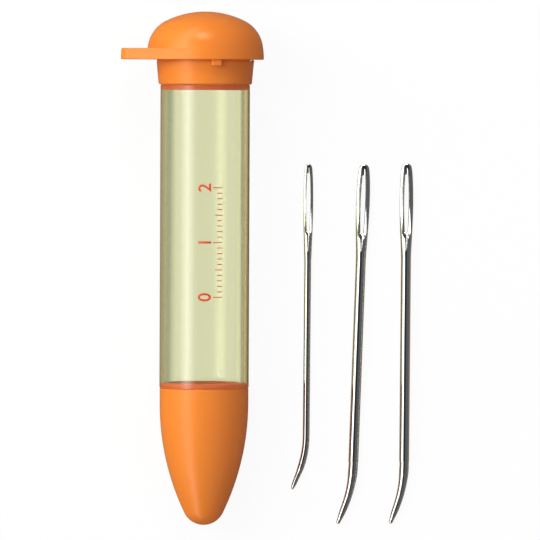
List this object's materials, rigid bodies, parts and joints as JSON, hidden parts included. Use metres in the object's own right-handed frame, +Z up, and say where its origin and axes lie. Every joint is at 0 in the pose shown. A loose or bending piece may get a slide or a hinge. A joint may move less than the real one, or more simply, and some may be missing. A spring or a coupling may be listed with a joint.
{
  "type": "yarn needle",
  "caption": "Blunt yarn needles with bent tips and long eyes, laid beside their clear tube case with a pointed nose and a hinged dome lid with a thumb visor.",
  "frame": {"origin": "middle of the set's box, on the surface that the case and the needles lie on", "axes": "+Z up from the surface, +Y from the case's nose to its lid, +X from the case to the needles; the lid's visor points to -X"},
  "size_m": [0.0538, 0.0942, 0.0215],
  "materials": {
    "orange_plastic": "moulded, satin",
    "clear_plastic": "clear with a yellow-green tint",
    "nickel_steel": "polished nickel plate"
  },
  "bodies": {
    "case": {"collar": "orange_plastic", "tube": "clear_plastic", "nose": "orange_plastic"},
    "lid": {"lid": "orange_plastic"},
    "needle_short": {"needle_short": "nickel_steel"},
    "needle_middle": {"needle_middle": "nickel_steel"},
    "needle_right": {"needle_right": "nickel_steel"}
  },
  "joints": [
    {"name": "lid_hinge", "type": "hinge", "parent": "case", "child": "lid", "pos_m": [-0.00285, 0.03797, 0.01072], "axis": [0, 0.0405, -0.9992], "range_deg": [0, 95]},
    {"name": "short_lift", "type": "slide", "parent": "case", "child": "needle_short", "axis": [0, 0, 1], "range_m": [0, 0.03]},
    {"name": "middle_lift", "type": "slide", "parent": "case", "child": "needle_middle", "axis": [0, 0, 1], "range_m": [0, 0.03]},
    {"name": "right_lift", "type": "slide", "parent": "case", "child": "needle_right", "axis": [0, 0, 1], "range_m": [0, 0.03]}
  ]
}
